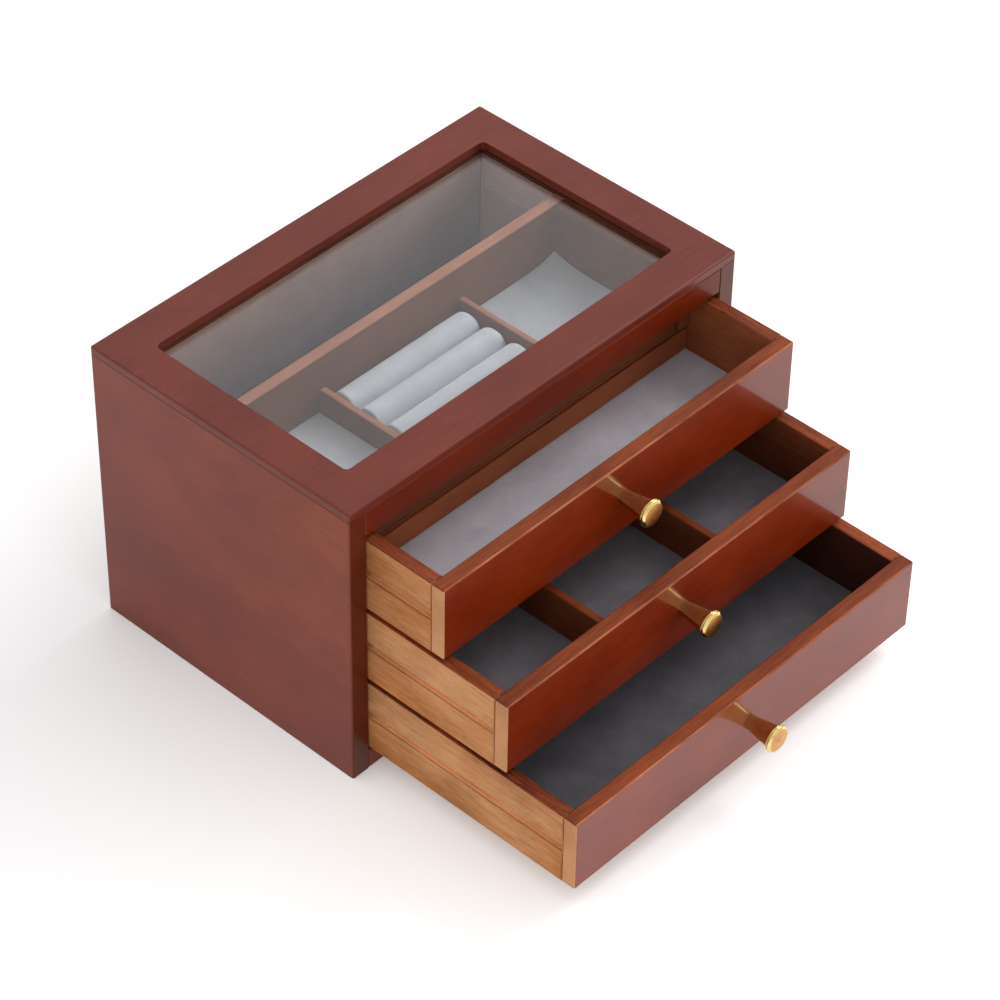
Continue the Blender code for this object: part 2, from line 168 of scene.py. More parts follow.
class Tree:
    """A material's node tree, with short calls for the nodes that the finishes share."""

    def __init__(self, name):
        self.material = bpy.data.materials.new(name)
        self.material.use_nodes = True
        self.tree = self.material.node_tree
        self.shader = self.tree.nodes["Principled BSDF"]
        self.output = self.tree.nodes["Material Output"]

    def new(self, kind, **settings):
        node = self.tree.nodes.new(kind)
        for name, value in settings.items():
            setattr(node, name, value)
        return node

    def link(self, source, target):
        self.tree.links.new(source, target)

    def set(self, **values):
        """Set the shader's own sockets: words joined with _ name the socket."""
        for name, value in values.items():
            socket = name.replace("_", " ").title().replace("Ior", "IOR")
            self.shader.inputs[socket].default_value = value

    def put(self, node, index, value):
        """Link a socket to an input, or set the input's value."""
        if isinstance(value, bpy.types.NodeSocket):
            self.link(value, node.inputs[index])
        else:
            node.inputs[index].default_value = value

    def math(self, operation, a, b=0.0, clamp=False):
        node = self.new("ShaderNodeMath", operation=operation, use_clamp=clamp)
        self.put(node, 0, a)
        self.put(node, 1, b)
        return node.outputs[0]

    def mix(self, factor, a, b):
        """A colour between a and b."""
        node = self.new("ShaderNodeMix", data_type="RGBA")
        self.put(node, 0, factor)
        self.put(node, 6, a)
        self.put(node, 7, b)
        return node.outputs[2]

    def blend(self, factor, a, b):
        """A number between a and b."""
        node = self.new("ShaderNodeMix", data_type="FLOAT")
        self.put(node, 0, factor)
        self.put(node, 2, a)
        self.put(node, 3, b)
        return node.outputs[0]

    def spread(self, value, low, high):
        """value mapped so that low gives 0 and high gives 1, clamped."""
        node = self.new("ShaderNodeMapRange", clamp=True)
        self.put(node, 0, value)
        self.put(node, 1, low)
        self.put(node, 2, high)
        return node.outputs[0]

    def coordinate(self, output, axis):
        """The X, Y or Z part of the piece's Object or Normal coordinates."""
        coordinates = self.new("ShaderNodeTexCoord")
        parts = self.new("ShaderNodeSeparateXYZ")
        self.link(coordinates.outputs[output], parts.inputs[0])
        return parts.outputs[axis]

    def both(self, first, second):
        """The part of a surface that two masks share."""
        return self.math("MULTIPLY", first, second)

    def place(self, seed):
        """Object coordinates, shifted by an amount of their own on each piece."""
        coordinates = self.new("ShaderNodeTexCoord")
        info = self.new("ShaderNodeObjectInfo")
        shift = self.new("ShaderNodeVectorMath", operation="SCALE")
        shift.inputs[0].default_value = (1.37 + seed, 2.11, 0.73)
        self.link(info.outputs["Random"], shift.inputs["Scale"])
        added = self.new("ShaderNodeVectorMath", operation="ADD")
        self.link(coordinates.outputs["Object"], added.inputs[0])
        self.link(shift.outputs[0], added.inputs[1])
        return added.outputs[0]

    def stretched(self, vector, axis, factor):
        """Coordinates whose features are longer along one axis by 1 / factor."""
        scale = [1.0, 1.0, 1.0]
        scale["XYZ".index(axis)] = factor
        node = self.new("ShaderNodeVectorMath", operation="MULTIPLY")
        self.link(vector, node.inputs[0])
        node.inputs[1].default_value = scale
        return node.outputs[0]

    def noise(self, vector, scale, detail=2.0, roughness=0.5, distortion=0.0):
        node = self.new("ShaderNodeTexNoise")
        self.link(vector, node.inputs["Vector"])
        node.inputs["Scale"].default_value = scale
        node.inputs["Detail"].default_value = detail
        node.inputs["Roughness"].default_value = roughness
        node.inputs["Distortion"].default_value = distortion
        return node.outputs["Fac"]

    def bump(self, height, strength, distance):
        node = self.new("ShaderNodeBump")
        node.inputs["Strength"].default_value = strength
        node.inputs["Distance"].default_value = distance
        self.link(height, node.inputs["Height"])
        self.link(node.outputs["Normal"], self.shader.inputs["Normal"])


def finished_mesh(bm, name):
    """The mesh of a bmesh, which is freed."""
    mesh = bpy.data.meshes.new(name)
    bm.to_mesh(mesh)
    bm.free()
    return mesh


def new_object(name, mesh, material):
    """A linked object with one material."""
    obj = bpy.data.objects.new(name, mesh)
    bpy.context.scene.collection.objects.link(obj)
    mesh.materials.append(material)
    return obj


# --- Woods --------------------------------------------------------------------------------

# Each tone: dark and light colour of the grain, roughness, coat weight
LACQUER = (linear(90, 29, 18), linear(120, 47, 31), 0.42, 0.34)
# Painted light: a lighter lacquer on the upper front of the cabinet sides, where more light falls
LACQUER_PAINTED_LIGHT = (linear(98, 33, 14), linear(134, 57, 28), 0.42, 0.34)
LID = (linear(84, 28, 17), linear(114, 45, 29), 0.42, 0.42)
FRONT = (linear(92, 22, 3), linear(132, 44, 9), 0.36, 0.6)
RAIL = (linear(82, 20, 4), linear(122, 40, 10), 0.36, 0.16)
# Painted shade: EDGE darkens the front edges of the cabinet sides
EDGE = (linear(68, 22, 9), linear(102, 38, 15), 0.40, 0.3)
RIM = (linear(74, 26, 11), linear(148, 72, 38), 0.48, 0.06)
# ARRIS_WEAR_AND_HIGHLIGHT: wear with a painted highlight on the drawer fronts' top chamfer
ARRIS_WEAR_AND_HIGHLIGHT = (linear(132, 64, 40), linear(196, 124, 88), 0.50, 0.10)
DIVIDER_TOP = (linear(138, 84, 64), linear(180, 122, 98), 0.50, 0.10)
INSIDE = (linear(92, 46, 26), linear(134, 76, 46), 0.52, 0.06)
NATURAL = (linear(150, 102, 66), linear(202, 148, 104), 0.62, 0.0)
NATURAL_WARM = (linear(138, 84, 42), linear(192, 126, 72), 0.62, 0.0)
# Painted light: GROOVE lightens the bare wood in the drawer-side grooves against the shade in them
GROOVE = (linear(196, 142, 97), linear(244, 190, 140), 0.62, 0.0)
BEIGE = (linear(194, 160, 150), linear(218, 186, 178), 0.70, 0.0)
# Inside the drawers: one stained wood with painted shade, darker from drawer 1 to drawer 3
DRAWER_INSIDE_PAINTED_SHADE = {
    1: (linear(122, 62, 34), linear(164, 94, 58), 0.52, 0.06),
    2: (linear(84, 38, 20), linear(126, 66, 38), 0.52, 0.04),
    3: (linear(42, 18, 13), linear(68, 33, 24), 0.55, 0.03),
}

# Amount of fine fibre, growth rings, clouding and pores in each kind of surface
FINE = (0.60, 0.04, 0.55, 0.10)
OPEN = (0.40, 0.10, 0.55, 0.06)
BARE = (0.80, 0.10, 0.75, 0.40)

# Coat roughness and bump strength of each kind of surface
SATIN_COAT = (0.22, 0.05)
LID_COAT = (0.24, 0.05)
RAIL_COAT = (0.10, 0.04)
FRONT_COAT = (0.09, 0.04)
INSIDE_COAT = (0.30, 0.04)
DRAWER_INSIDE_COAT = (0.30, 0.15)
BARE_SIDE_COAT = (0.30, 0.35)
BARE_BOTTOM_COAT = (0.30, 0.30)

# Grain features: how many to a metre across the grain, and the stretch along it
FIBRE_SCALE, FIBRE_STRETCH = 1300.0, 0.045
BAND_SCALE, BAND_STRETCH = 95.0, 0.10
CLOUD_SCALE, CLOUD_STRETCH = 26.0, 0.6
PORE_SCALE, PORE_STRETCH = 2700.0, 0.06
RINGS_PER_BAND = 58.0
PORE_DEPTH = 0.6


def grain(tree, axis, weights, seed):
    """Grain along an axis: its value for the colour, and its height for the bump."""
    fibre_weight, ring_weight, cloud_weight, pore_weight = weights
    where = tree.place(seed)
    fibre = tree.noise(tree.stretched(where, axis, FIBRE_STRETCH), FIBRE_SCALE, 3.0, 0.65)
    bands = tree.noise(tree.stretched(where, axis, BAND_STRETCH), BAND_SCALE, 2.0, 0.5, 0.35)
    rings = tree.math("SINE", tree.math("MULTIPLY", bands, RINGS_PER_BAND))
    cloud = tree.noise(tree.stretched(where, axis, CLOUD_STRETCH), CLOUD_SCALE, 3.0, 0.55)
    pores = tree.noise(tree.stretched(where, axis, PORE_STRETCH), PORE_SCALE, 1.0)
    pore_mask = tree.spread(pores, 0.60, 0.70)
    value = tree.math("MULTIPLY", tree.math("SUBTRACT", fibre, 0.5), fibre_weight * 2.0)
    value = tree.math("ADD", value, tree.math("MULTIPLY", rings, ring_weight * 0.5))
    clouds = tree.math("MULTIPLY", tree.math("SUBTRACT", cloud, 0.5), cloud_weight * 2.4)
    value = tree.math("ADD", value, clouds)
    value = tree.math("SUBTRACT", value, tree.math("MULTIPLY", pore_mask, pore_weight))
    value = tree.math("ADD", value, 0.5, clamp=True)
    height = tree.math("SUBTRACT", fibre, tree.math("MULTIPLY", pore_mask, PORE_DEPTH))
    return value, height


def facing(tree, axis, sign, least=0.6):
    """1 where the surface faces one way along an axis of the piece, else 0."""
    along = tree.math("MULTIPLY", tree.coordinate("Normal", axis), sign)
    return tree.math("GREATER_THAN", along, least)


def beyond(tree, axis, sign, limit):
    """1 where the piece's coordinate along an axis, times sign, is over a limit in metres."""
    along = tree.math("MULTIPLY", tree.coordinate("Object", axis), sign)
    return tree.math("GREATER_THAN", along, limit)


def stain_patches(tree):
    """Soft patches where bare wood has taken up more of the stain, long along the board."""
    patches = tree.noise(tree.stretched(tree.place(3.0), "Y", 0.3), 30.0, 3.0, 0.6)
    return tree.spread(patches, 0.38, 0.62)


def towards_top_front(tree):
    """From 0 at the low rear of a side to 1 at its top front, unevenly: how far the painted light
    on the side reaches.
    """
    cloud = tree.noise(tree.place(5.0), 14.0, 2.0)
    height = tree.math("SUBTRACT", tree.coordinate("Object", "Z"), tree.coordinate("Object", "Y"))
    uneven = tree.math("ADD", height, tree.math("MULTIPLY", cloud, 0.16))
    return tree.spread(uneven, 0.06, 0.34)


def wood(name, axis, base, weights, zones, surface, seed=0.0):
    """A wood whose faces may be finished differently. zones are (mask maker, tone) pairs."""
    coat_roughness, bump = surface
    tree = Tree(name)
    value, height = grain(tree, axis, weights, seed)
    color = tree.mix(value, base[0], base[1])
    rough = base[2]
    coat = base[3]
    for make_mask, tone in zones:
        mask = make_mask(tree)
        color = tree.mix(mask, color, tree.mix(value, tone[0], tone[1]))
        rough = tree.blend(mask, rough, tone[2])
        coat = tree.blend(mask, coat, tone[3])
    tree.link(color, tree.shader.inputs["Base Color"])
    relief = tree.math("SUBTRACT", height, 0.5)
    varied = tree.math("ADD", rough, tree.math("MULTIPLY", relief, GRAIN_ROUGHNESS))
    tree.link(varied, tree.shader.inputs["Roughness"])
    tree.put(tree.shader, "Coat Weight", coat)
    tree.set(specular_ior_level=0.1, coat_roughness=coat_roughness, coat_ior=1.5)
    tree.bump(height, bump, GRAIN_RELIEF)
    return tree.material


def paint(names, material):
    """Give CAD nodes a material in every slot."""
    for name in names:
        mesh = NODES[name].data
        mesh.materials.clear()
        mesh.materials.append(material)


def soften(names, width, segments=3, angle=30.0):
    """Round the edges of CAD nodes finely, and shade them smooth across the rounding."""
    for name in names:
        obj = NODES[name]
        mesh = obj.data
        if "custom_normal" in mesh.attributes:
            mesh.attributes.remove(mesh.attributes["custom_normal"])
        mesh.shade_smooth()
        weld = obj.modifiers.new("weld", "WELD")
        weld.merge_threshold = WELD_DISTANCE
        flat = obj.modifiers.new("flat", "DECIMATE")
        flat.decimate_type = "DISSOLVE"
        flat.angle_limit = math.radians(0.5)
        bevel = obj.modifiers.new("edges", "BEVEL")
        bevel.width = width
        bevel.segments = segments
        bevel.limit_method = "ANGLE"
        bevel.angle_limit = math.radians(angle)
        normals = obj.modifiers.new("normals", "WEIGHTED_NORMAL")
        normals.weight = 100
        normals.keep_sharp = False


def finish_cabinet():
    """The lacquered outside, the glossy rail, and the boards of the tray and the well."""
    sides = ["cabinet_side_left", "cabinet_side_right"]
    for name, sign in zip(sides, (-1, 1)):
        inner = (lambda tree, s=-sign: facing(tree, "X", s), INSIDE)
        # painted shade on the front edge of the side
        front = (lambda tree: facing(tree, "Y", -1, 0.75), EDGE)
        # painted light, lighter towards the top front of the side
        lit_top_front = (towards_top_front, LACQUER_PAINTED_LIGHT)
        zones = [lit_top_front, front, inner]
        paint([name], wood(f"lacquered_{name}", "Y", LACQUER, FINE, zones, SATIN_COAT))
    zones = [(lambda tree: facing(tree, "Y", -1), INSIDE)]
    paint(["cabinet_back"], wood("lacquered_back", "X", LACQUER, FINE, zones, SATIN_COAT))
    zones = [(lambda tree: facing(tree, "Z", 1), INSIDE)]
    paint(["cabinet_bottom"], wood("lacquered_bottom", "X", LACQUER, FINE, zones, SATIN_COAT, 1.0))
    paint(["lid_frame"], wood("lacquered_lid", "X", LID, FINE, (), LID_COAT, 2.0))
    paint(["front_rail"], wood("glossy_rail", "X", RAIL, FINE, (), RAIL_COAT, 3.0))
    soften(sides + ["cabinet_back", "cabinet_bottom", "lid_frame"], 0.08 * MM, 2)
    soften(["front_rail"], 0.1 * MM)

    inside_y = wood("inside_wood_y", "Y", INSIDE, OPEN, (), INSIDE_COAT)
    inside_x = wood("inside_wood_x", "X", INSIDE, OPEN, (), INSIDE_COAT, 1.0)
    runners = [f"runner_{number}_{side}" for number in (1, 2, 3) for side in ("left", "right")]
    walls = ["tray_wall_left", "tray_wall_right"]
    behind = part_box("tray_divider_long")[1].y
    for name, sign in zip(walls, (-1, 1)):

        def well_end(tree, inward=-sign):
            return tree.both(facing(tree, "X", inward), beyond(tree, "Y", 1, behind))

        zones = [(well_end, BEIGE)]
        paint([name], wood(f"{name}_wood", "Y", INSIDE, OPEN, zones, INSIDE_COAT))
    boards = ["tray_floor", "tray_wall_front", "well_floor", "well_back", "lid_bead"]
    paint(runners, inside_y)
    paint(boards, inside_x)
    soften(runners + walls + boards, 0.25 * MM)

    zones = [(lambda tree: facing(tree, "Z", 1), DIVIDER_TOP)]
    long = ["tray_divider_long"]
    paint(long, wood("divider_wood_x", "X", INSIDE, OPEN, zones, INSIDE_COAT, 4.0))
    short = ["tray_divider_left", "tray_divider_right"]
    paint(short, wood("divider_wood_y", "Y", INSIDE, OPEN, zones, INSIDE_COAT, 5.0))
    soften(long + short, 0.3 * MM)


def drawer_side_wood(number, word, sign):
    """Bare wood outside, with painted light in the groove; stained on top; inside, the stained
    tone with painted shade.
    """
    low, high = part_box(f"drawer_{number}_side_{word}")
    outer = max(abs(low.x), abs(high.x))
    top = high.z

    def groove_mask(tree):
        deeper = beyond(tree, "X", -sign, OUTER_SKIN - outer)
        return tree.both(beyond(tree, "X", sign, outer - GROOVE_REACH), deeper)

    def inner_mask(tree):
        return tree.both(
            facing(tree, "X", -sign, 0.5), beyond(tree, "X", -sign, GROOVE_REACH - outer)
        )

    def top_mask(tree):
        return tree.both(facing(tree, "Z", 1, 0.55), beyond(tree, "Z", 1, top - RIM_DEPTH))

    zones = [
        (stain_patches, NATURAL_WARM),
        # painted light in the groove
        (groove_mask, GROOVE),
        # painted shade inside the drawer
        (inner_mask, DRAWER_INSIDE_PAINTED_SHADE[number]),
        (top_mask, RIM),
    ]
    name = f"drawer_{number}_{word}_wood"
    return wood(name, "Y", NATURAL, BARE, zones, BARE_SIDE_COAT, number)


def arris_wear_and_highlight(tree):
    """1 on the chamfer between a drawer's front and its rim, in patches: wear with a painted
    highlight.
    """
    edge = tree.both(facing(tree, "Z", 1, 0.35), facing(tree, "Y", -1, 0.35))
    arris_patches = tree.noise(tree.stretched(tree.place(9.0), "X", 0.2), 150.0, 3.0, 0.6)
    return tree.both(edge, tree.spread(arris_patches, 0.30, 0.62))


def glue_line(number, word, material):
    """The thin line of glue that closes the joint between a drawer's front and a side."""
    low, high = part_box(f"drawer_{number}_side_{word}")
    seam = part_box(f"drawer_{number}_front")[1].y
    name = f"drawer_{number}_glue_{word}"
    inset = Vector((GLUE_INSET, 0.0, GLUE_INSET))
    size = high - low - 2.0 * inset
    corner = Vector((low.x, (seam + low.y) / 2, low.z)) + inset
    bm = bmesh.new()
    bmesh.ops.create_grid(bm, x_segments=4, y_segments=24, size=0.5)
    seed = Vector((number * 3.1, corner.x * 50.0, 0.7))
    for vert in bm.verts:
        a, b = vert.co.x + 0.5, vert.co.y + 0.5
        squeezed = GLUE_SQUEEZE * noise.noise(seed + Vector((a * 3.0, 0.0, b * 20.0)))
        vert.co = corner + Vector((size.x * a, squeezed, size.z * b))
    obj = new_object(name, finished_mesh(bm, name), material)
    solid = obj.modifiers.new("thickness", "SOLIDIFY")
    solid.thickness = GLUE_THICK
    solid.offset = 0.0
    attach(obj, f"drawer_{number}")


def finish_drawer(number):
    """A drawer's boards: glossy front face, stained rim, bare ends and outsides."""
    name = f"drawer_{number}"
    # the drawer's inside tone, with painted shade
    inside = DRAWER_INSIDE_PAINTED_SHADE[number]
    zones = [
        (lambda tree: facing(tree, "Y", 1), inside),
        (lambda tree: facing(tree, "X", 1), NATURAL),
        (lambda tree: facing(tree, "X", -1), NATURAL),
        (lambda tree: facing(tree, "Z", 1, 0.55), RIM),
        # wear and painted highlight on the top chamfer
        (arris_wear_and_highlight, ARRIS_WEAR_AND_HIGHLIGHT),
    ]
    front_wood = wood(f"{name}_front_wood", "X", FRONT, FINE, zones, FRONT_COAT, number)
    paint([f"{name}_front"], front_wood)
    soften([f"{name}_front"], 0.15 * MM)
    for word, sign in (("left", -1), ("right", 1)):
        side = f"{name}_side_{word}"
        material = drawer_side_wood(number, word, sign)
        paint([side], material)
        glue_line(number, word, material)
        soften([side], 0.12 * MM)
    zones = [(lambda tree: facing(tree, "Z", 1), RIM)]
    # the back and dividers take the inside tone with its painted shade
    across = wood(f"{name}_across_wood", "X", inside, OPEN, zones, DRAWER_INSIDE_COAT, number)
    boards = [f"{name}_back"]
    if number == 1:
        boards.append(f"{name}_divider")
    paint(boards, across)
    if number == 2:
        dividers = [f"{name}_divider_left", f"{name}_divider_right"]
        along = wood(f"{name}_divider_wood", "Y", inside, OPEN, zones, DRAWER_INSIDE_COAT, 7.0)
        paint(dividers, along)
        boards += dividers
    bottom = [f"{name}_bottom"]
    paint(bottom, wood(f"{name}_bottom_wood", "X", NATURAL, BARE, (), BARE_BOTTOM_COAT, number))
    soften(boards + bottom, 0.2 * MM)


# --- Linings and ring rolls ---------------------------------------------------------------

# Each cloth: its dark and its light colour
GREY_FELT = (linear(147, 142, 148), linear(188, 183, 189))
# The grey felt again with painted shade, for drawers 2 and 3
FELT_PAINTED_SHADE = (linear(92, 87, 92), linear(136, 130, 136))
FELT_PAINTED_DEEPER_SHADE = (linear(76, 73, 78), linear(114, 111, 116))
WELL_CLOTH = (linear(98, 84, 97), linear(114, 98, 111))
# Painted light: the well cloth's lighter colours near the top of the well
WELL_CLOTH_PAINTED_LIGHT = (linear(160, 130, 121), linear(182, 149, 137))
END_CLOTH = (linear(170, 138, 140), linear(196, 164, 166))
GREY_VELVET = (linear(172, 175, 182), linear(206, 209, 216))


def fabric(name, dark, light, nap, sheen, bump, painted_light_top=None):
    """Short-napped cloth: fibres nap metres across, brushed patches, and a soft sheen.

    The last argument holds the dark and light colours of the painted light at the top of the well.
    """
    tree = Tree(name)
    where = tree.place(0.0)
    fibre = tree.noise(where, 1.0 / nap, 2.0, 0.7)
    strands = tree.noise(tree.stretched(where, "X", 0.25), 0.6 / nap, 2.0, 0.6, 1.5)
    brushed = tree.noise(where, 38.0, 3.0, 0.6, 0.4)
    value = tree.math("MULTIPLY", fibre, 0.55)
    value = tree.math("ADD", value, tree.math("MULTIPLY", strands, 0.45))
    value = tree.spread(value, 0.30, 0.70)
    value = tree.blend(0.42, value, tree.spread(brushed, 0.30, 0.70))
    color = tree.mix(value, dark, light)
    # painted light: the cloth turns lighter towards the top of the well
    if painted_light_top:
        uneven = tree.math("MULTIPLY", brushed, PAINTED_LIGHT_UNEVEN)
        height = tree.math("ADD", tree.coordinate("Object", "Z"), uneven)
        amount = tree.spread(height, *PAINTED_LIGHT_HEIGHTS)
        color = tree.mix(amount, color, tree.mix(value, *painted_light_top))
    tree.link(color, tree.shader.inputs["Base Color"])
    tree.link(tree.spread(value, -6.0, 1.2), tree.shader.inputs["Roughness"])
    tree.set(specular_ior_level=0.15, sheen_weight=sheen, sheen_roughness=0.5)
    tree.shader.inputs["Sheen Tint"].default_value = light
    relief = tree.math("ADD", fibre, tree.math("MULTIPLY", strands, 0.7))
    tree.bump(relief, bump, NAP_RELIEF)
    return tree.material


def mesh_object(name, mesh, material, body, nodes=()):
    """Link a mesh as a piece that rides on a body, in place of some CAD nodes."""
    obj = new_object(name, mesh, material)
    mesh.shade_smooth()
    if nodes:
        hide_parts(*nodes)
    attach(obj, body)
    return obj


def cloth_panel(name, corner, along, up, normal, lift, thick, material, body, nodes=()):
    """A sheet from a corner along two edge vectors, lifted off its plane by lift(a, b)."""
    columns = max(2, round(along.length / FELT_STEP))
    rows = max(2, round(up.length / FELT_STEP))
    bm = bmesh.new()
    bmesh.ops.create_grid(bm, x_segments=columns, y_segments=rows, size=0.5)
    for vert in bm.verts:
        a = vert.co.x + 0.5
        b = vert.co.y + 0.5
        vert.co = corner + along * a + up * b + normal * lift(a, b)
    obj = mesh_object(name, finished_mesh(bm, name), material, body, nodes)
    solid = obj.modifiers.new("thickness", "SOLIDIFY")
    solid.thickness = thick
    solid.offset = -1.0
    edge = obj.modifiers.new("edge", "BEVEL")
    edge.width = FELT_EDGE
    edge.segments = 2
    edge.limit_method = "ANGLE"
    return obj


def waves(name, height):
    """Uneven lay of a lining, from a seed of its own, between 0 and height."""
    seed = Vector((sum(ord(letter) for letter in name) * 0.37, 1.7, 4.2))

    def lift(a, b):
        return height * (0.5 + 0.5 * noise.noise(seed + Vector((a * 7.0, b * 5.0, 0.0))))

    return lift


def curled(lift, height, reach, width, length):
    """A lining's lay with its far right corner curled up."""

    def lifted(a, b):
        near = math.hypot((1.0 - a) * width, (1.0 - b) * length)
        rise = max(0.0, 1.0 - near / reach)
        return lift(a, b) + height * rise * rise

    return lifted


def floor_lining(node, body, material, curl=False):
    """The felt that lies on a compartment's floor."""
    low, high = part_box(node)
    size = high - low
    thick = size.z - FELT_WAVE
    lift = waves(node, FELT_WAVE)
    if curl:
        lift = curled(lift, CURL_HEIGHT, CURL_REACH, size.x, size.y)
    obj = cloth_panel(
        f"{node}_cloth",
        Vector((low.x, low.y, low.z + thick)),
        Vector((size.x, 0.0, 0.0)),
        Vector((0.0, size.y, 0.0)),
        Vector((0.0, 0.0, 1.0)),
        lift,
        thick,
        material,
        body,
        [node],
    )


def wall_lining(name, corner, along, up, normal, material):
    """The felt glued to a wall of the rear well."""
    obj = cloth_panel(
        name, corner, along, up, normal, waves(name, FELT_WAVE), WALL_FELT, material, "cabinet"
    )


def line_well(material, end_material):
    """Felt on the floor, the back and the ends of the rear well."""
    floor_lining("well_felt", "cabinet", material)
    low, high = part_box("well_felt")
    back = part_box("well_back")[0]
    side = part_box("tray_divider_long")[1].x
    foot = high.z + WALL_FELT_GAP
    stand = WALL_FELT_STAND
    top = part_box("well_back")[1].z
    depth = back.y - stand - low.y
    wall_lining(
        "well_back_cloth",
        Vector((-side + stand + WALL_FELT_CORNER, back.y - stand + WALL_FELT, foot)),
        Vector((2.0 * (side - stand - WALL_FELT_CORNER), 0.0, 0.0)),
        Vector((0.0, 0.0, top - foot)),
        Vector((0.0, -1.0, 0.0)),
        material,
    )
    wall_lining(
        "well_right_cloth",
        Vector((side - stand + WALL_FELT, back.y - stand - WALL_FELT_GAP, foot)),
        Vector((0.0, WALL_FELT_GAP - depth, 0.0)),
        Vector((0.0, 0.0, WALL_FELT_TOP - foot)),
        Vector((-1.0, 0.0, 0.0)),
        end_material,
    )
    wall_lining(
        "well_left_cloth",
        Vector((stand - WALL_FELT - side, low.y, foot)),
        Vector((0.0, depth - WALL_FELT_GAP, 0.0)),
        Vector((0.0, 0.0, WALL_FELT_TOP - foot)),
        Vector((1.0, 0.0, 0.0)),
        end_material,
    )


def ring_roll(number, material):
    """A long velvet roll, flat underneath, pressed square on the left and domed on the right."""
    name = f"ring_roll_{number}"
    low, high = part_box(name)
    middle = (low + high) / 2
    half = (high - low) / 2
    seed = Vector((number * 11.3, 0.4, 2.9))
    bm = bmesh.new()
    rings = []
    for step in range(ROLL_ALONG + 1):
        phase = -math.pi / 2 + math.pi * step / ROLL_ALONG
        x = half.x * math.sin(phase)
        dome = ROLL_DOME_LEFT if x < 0.0 else ROLL_DOME_RIGHT
        into = max(0.0, abs(x) - (half.x - dome)) / dome
        full = (1.0 - min(1.0, into) ** ROLL_END_SHARPNESS) ** ROLL_END_FULLNESS
        scale = max(ROLL_END_LEAST, full)
        ring = []
        for turn in range(ROLL_AROUND):
            angle = math.pi * turn / (ROLL_AROUND - 1)
            level = abs(math.cos(angle)) ** ROLL_SQUARE_ACROSS
            across = half.y * math.copysign(level, math.cos(angle))
            rise = 2.0 * half.z * math.sin(angle) ** ROLL_SQUARE_UP
            lump = noise.noise(seed + Vector((x * 90.0, angle * 2.0, 0.0)))
            uneven = 1.0 + ROLL_UNEVEN * lump
            squeeze = ROLL_END_WIDTH + (1.0 - ROLL_END_WIDTH) * scale
            ring.append(
                bm.verts.new(
                    (
                        middle.x + x,
                        middle.y + across * squeeze * uneven * ROLL_SHARE_ACROSS,
                        low.z + rise * scale * uneven * ROLL_SHARE_UP,
                    )
                )
            )
        rings.append(ring)
    for first, second in zip(rings, rings[1:]):
        for turn in range(ROLL_AROUND):
            after = (turn + 1) % ROLL_AROUND
            bm.faces.new((first[turn], first[after], second[after], second[turn]))
    bm.faces.new(reversed(rings[0]))
    bm.faces.new(rings[-1])
    bmesh.ops.recalc_face_normals(bm, faces=bm.faces)
    mesh = finished_mesh(bm, f"{name}_cover")
    obj = mesh_object(f"{name}_cover", mesh, material, "cabinet", [name])
    mesh.set_sharp_from_angle(angle=math.radians(60.0))


def line_everything():
    """All felt linings and the four ring rolls."""
    felt = fabric("grey_felt", *GREY_FELT, 0.35 * MM, 0.35, 0.5)
    shaded_felt = fabric("deep_felt", *FELT_PAINTED_SHADE, 0.35 * MM, 0.10, 0.5)
    more_shaded_felt = fabric("deepest_felt", *FELT_PAINTED_DEEPER_SHADE, 0.35 * MM, 0.08, 0.5)
    lining = fabric("well_cloth", *WELL_CLOTH, 0.6 * MM, 0.15, 0.08, WELL_CLOTH_PAINTED_LIGHT)
    ends = fabric("end_cloth", *END_CLOTH, 0.6 * MM, 0.15, 0.08)
    velvet = fabric("grey_velvet", *GREY_VELVET, 0.28 * MM, 0.6, 0.4)
    # drawers 2 and 3 get the felt with painted shade
    for number, cloth in enumerate((felt, shaded_felt, more_shaded_felt), start=1):
        floor_lining(f"drawer_{number}_felt", f"drawer_{number}", cloth)
    floor_lining("tray_felt_left", "cabinet", velvet)
    floor_lining("tray_felt_right", "cabinet", velvet, curl=True)
    line_well(lining, ends)
    for number in (1, 2, 3, 4):
        ring_roll(number, velvet)


# --- Brass and glass ----------------------------------------------------------------------

# Each metal or glass: its clean and its tarnished or dusty colour
BRASS = (linear(228, 208, 146), linear(206, 172, 98))
# Knob face: satin brass whose orange colour is a painted reflection of the red-brown fronts
SATIN_BRASS_PAINTED_REFLECTION = (linear(208, 156, 90), linear(186, 130, 68))
GLASS = (linear(252, 253, 253), linear(246, 248, 248))
GLASS_SHADOW = (0.86, 0.87, 0.87, 1.0)


def brass(name, rough_low, rough_high, bump, satin_from=None):
    """Polished brass with faint tarnish and turning marks, satin beyond satin_from along Z, where
    its darker orange colour is a painted reflection.
    """
    tree = Tree(name)
    where = tree.place(0.0)
    stain = tree.noise(where, 160.0, 3.0, 0.6)
    marks = tree.noise(tree.stretched(where, "Y", 6.0), 900.0, 2.0, 0.5)
    tarnish = tree.spread(stain, 0.35, 0.7)
    color = tree.mix(tarnish, *BRASS)
    rough = tree.blend(tree.spread(stain, 0.3, 0.75), rough_low, rough_high)
    if satin_from is not None:
        # satin face, its colour a painted reflection
        knob_face = beyond(tree, "Z", 1, satin_from)
        color = tree.mix(knob_face, color, tree.mix(tarnish, *SATIN_BRASS_PAINTED_REFLECTION))
        rough = tree.blend(knob_face, rough, KNOB_FACE_ROUGHNESS)
    tree.link(color, tree.shader.inputs["Base Color"])
    tree.link(rough, tree.shader.inputs["Roughness"])
    tree.set(metallic=1.0)
    tree.bump(marks, bump, TURNING_RELIEF)
    return tree.material


